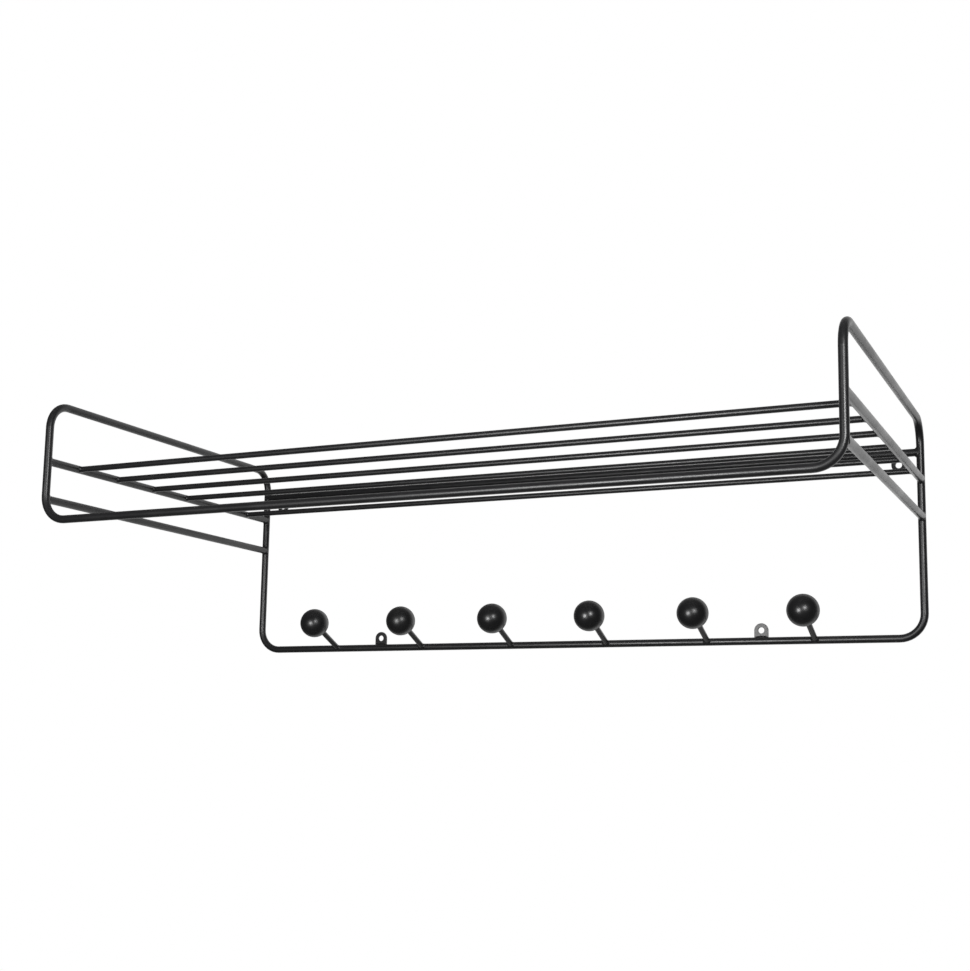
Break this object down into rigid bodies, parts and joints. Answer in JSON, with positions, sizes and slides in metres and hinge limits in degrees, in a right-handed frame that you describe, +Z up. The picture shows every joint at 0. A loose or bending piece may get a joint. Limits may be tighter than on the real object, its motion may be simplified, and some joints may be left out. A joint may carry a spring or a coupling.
{
  "type": "wall hat and coat rack",
  "caption": "Wall-mounted coat rack of bent and welded steel rod: an open-rod hat shelf between two side frames, over a rail of slanted pegs with round balls.",
  "frame": {"origin": "on the wall plane, midway between the two upper screw holes", "axes": "+Z up, -Y out of the wall towards the user, +X to the user's right when facing the wall"},
  "size_m": [0.8, 0.4, 0.23],
  "materials": {
    "powder_coat": "satin black powder coat on steel rod",
    "ball_lacquer": "satin black lacquer on turned wood"
  },
  "bodies": {
    "root": {"frame_loop": "powder_coat", "shelf_bearer_left": "powder_coat", "shelf_bearer_right": "powder_coat", "lower_side_rail_left": "powder_coat", "lower_side_rail_right": "powder_coat", "rear_rail": "powder_coat", "shelf_rod_1": "powder_coat", "shelf_rod_2": "powder_coat", "shelf_rod_3": "powder_coat", "shelf_rod_4": "powder_coat", "shelf_rod_5": "powder_coat", "shelf_rod_6": "powder_coat", "hook_peg_1": "powder_coat", "hook_peg_2": "powder_coat", "hook_peg_3": "powder_coat", "hook_peg_4": "powder_coat", "hook_peg_5": "powder_coat", "hook_peg_6": "powder_coat", "hook_ball_1": "ball_lacquer", "hook_ball_2": "ball_lacquer", "hook_ball_3": "ball_lacquer", "hook_ball_4": "ball_lacquer", "hook_ball_5": "ball_lacquer", "hook_ball_6": "ball_lacquer", "wall_tab_lower_left": "powder_coat", "wall_tab_lower_right": "powder_coat", "wall_tab_upper_left": "powder_coat", "wall_tab_upper_right": "powder_coat"}
  },
  "joints": []
}
